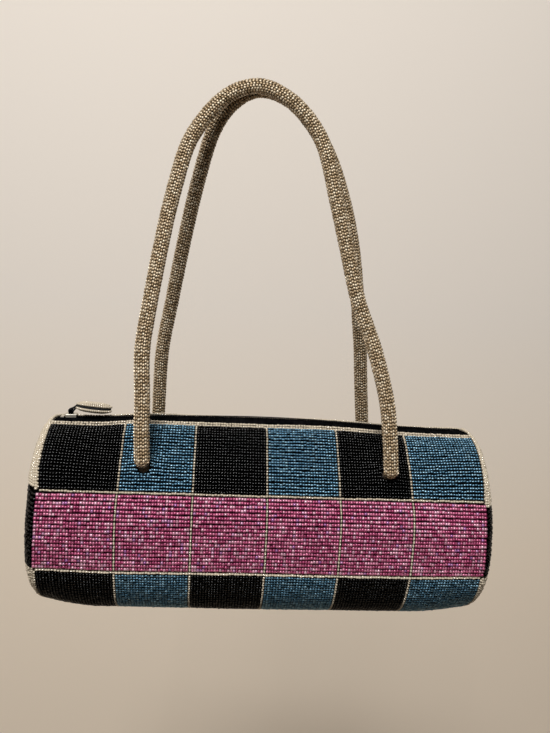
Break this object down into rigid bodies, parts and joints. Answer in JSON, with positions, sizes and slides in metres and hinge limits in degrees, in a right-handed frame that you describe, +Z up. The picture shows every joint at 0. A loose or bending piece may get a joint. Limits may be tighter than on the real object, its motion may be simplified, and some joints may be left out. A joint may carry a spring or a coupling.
{
  "type": "beaded cylinder shoulder bag",
  "caption": "Hanging cylinder shoulder bag covered in black, blue and magenta seed beads, with a zipped top, a beaded zip pull and beaded rope handles.",
  "frame": {"origin": "the point that the bag hangs from: the underside of the two handles at their highest point", "axes": "+X along the barrel, towards the end that the zip opens to; +Z up; -Y towards the front, where the first handle is"},
  "size_m": [0.3024, 0.126, 0.3474],
  "materials": {
    "black_beads": "opaque glossy glass beads",
    "blue_beads": "metal-lined blue glass beads",
    "purple_beads": "metal-lined magenta glass beads",
    "champagne_beads": "metal-lined pale glass beads",
    "rope_beads": "metal-lined golden glass beads",
    "canvas": "plain weave",
    "padding": "soft foam sheet",
    "lining": "smooth satin",
    "zip_tape": "woven tape",
    "zip_coil": "nylon coil",
    "pale_metal": "pale warm plating",
    "strap": "black ribbed tape"
  },
  "bodies": {
    "bag": {"bead_column_1": "black_beads", "bead_column_2": "blue_beads", "bead_column_3": "black_beads", "bead_column_4": "blue_beads", "bead_column_5": "black_beads", "bead_column_6": "blue_beads", "seam_line_1": "champagne_beads", "seam_line_2": "champagne_beads", "seam_line_3": "champagne_beads", "seam_line_4": "champagne_beads", "seam_line_5": "champagne_beads", "seam_line_6": "champagne_beads", "seam_line_7": "champagne_beads", "zip_trim_front": "champagne_beads", "zip_trim_back": "champagne_beads", "canvas": "canvas", "padding": "padding", "lining": "lining", "end_cap_left": "champagne_beads", "end_cap_right": "champagne_beads", "end_lining_left": "lining", "end_lining_right": "lining", "rope_anchor_front_left": "rope_beads", "rope_anchor_front_right": "rope_beads", "rope_anchor_back_left": "rope_beads", "rope_anchor_back_right": "rope_beads", "zip_tape_front": "zip_tape", "zip_tape_back": "zip_tape", "zip_coil_front": "zip_coil", "zip_coil_back": "zip_coil", "zip_stop_front_closed": "pale_metal", "zip_stop_back_closed": "pale_metal", "zip_stop_front_open": "pale_metal", "zip_stop_back_open": "pale_metal"},
    "slider": {"slider_body": "pale_metal"},
    "pull": {"pull_strap": "strap", "pull_pad_top": "champagne_beads", "pull_pad_core": "strap", "pull_pad_bottom": "champagne_beads"},
    "front_handle": {"handle_front": "rope_beads"},
    "back_handle": {"handle_back": "rope_beads"}
  },
  "joints": [
    {"name": "zipper_slide", "type": "slide", "parent": "bag", "child": "slider", "axis": [1, 0, 0], "range_m": [0, 0.25], "deforming": ["zip_tape_front", "zip_tape_back", "zip_coil_front", "zip_coil_back"]},
    {"name": "pull_hinge", "type": "hinge", "parent": "slider", "child": "pull", "pos_m": [-0.1129, 0, -0.20774], "axis": [0, -1, 0], "range_deg": [0, 140]},
    {"name": "front_handle_hinge", "type": "hinge", "parent": "bag", "child": "front_handle", "pos_m": [0.017, -0.05019, -0.22797], "axis": [1, 0, 0], "range_deg": [0, 140]},
    {"name": "back_handle_hinge", "type": "hinge", "parent": "bag", "child": "back_handle", "pos_m": [0.017, 0.05019, -0.22797], "axis": [-1, 0, 0], "range_deg": [0, 140]}
  ]
}
